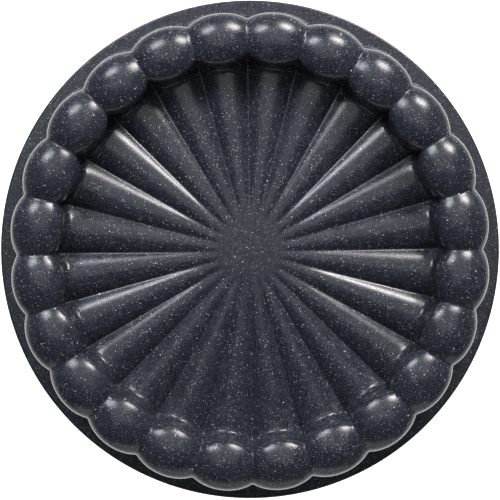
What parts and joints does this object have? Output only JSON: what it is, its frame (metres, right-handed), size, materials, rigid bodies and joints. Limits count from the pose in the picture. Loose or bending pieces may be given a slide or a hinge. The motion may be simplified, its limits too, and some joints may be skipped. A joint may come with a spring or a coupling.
{
  "type": "fluted cake pan",
  "caption": "Round cast cake pan with tapering flutes, a ring of pearl domes and a flat rim flange, stored rim down.",
  "frame": {"origin": "centre of the flat rim face, where the pan rests upside down", "axes": "+Z is the pan's round axis, from the rim face towards the outside of its base; a groove between two flutes lies on +X"},
  "size_m": [0.28, 0.28, 0.0376],
  "materials": {
    "cast_wall": "die cast, ground flat on the rim face",
    "speckled_coat": "satin charcoal release coat with pale stone flecks",
    "release_coat": "satin charcoal release coat with pale stone flecks"
  },
  "bodies": {
    "root": {"pan_casting": "cast_wall", "outer_coating": "speckled_coat", "inner_coating": "release_coat"}
  },
  "joints": []
}
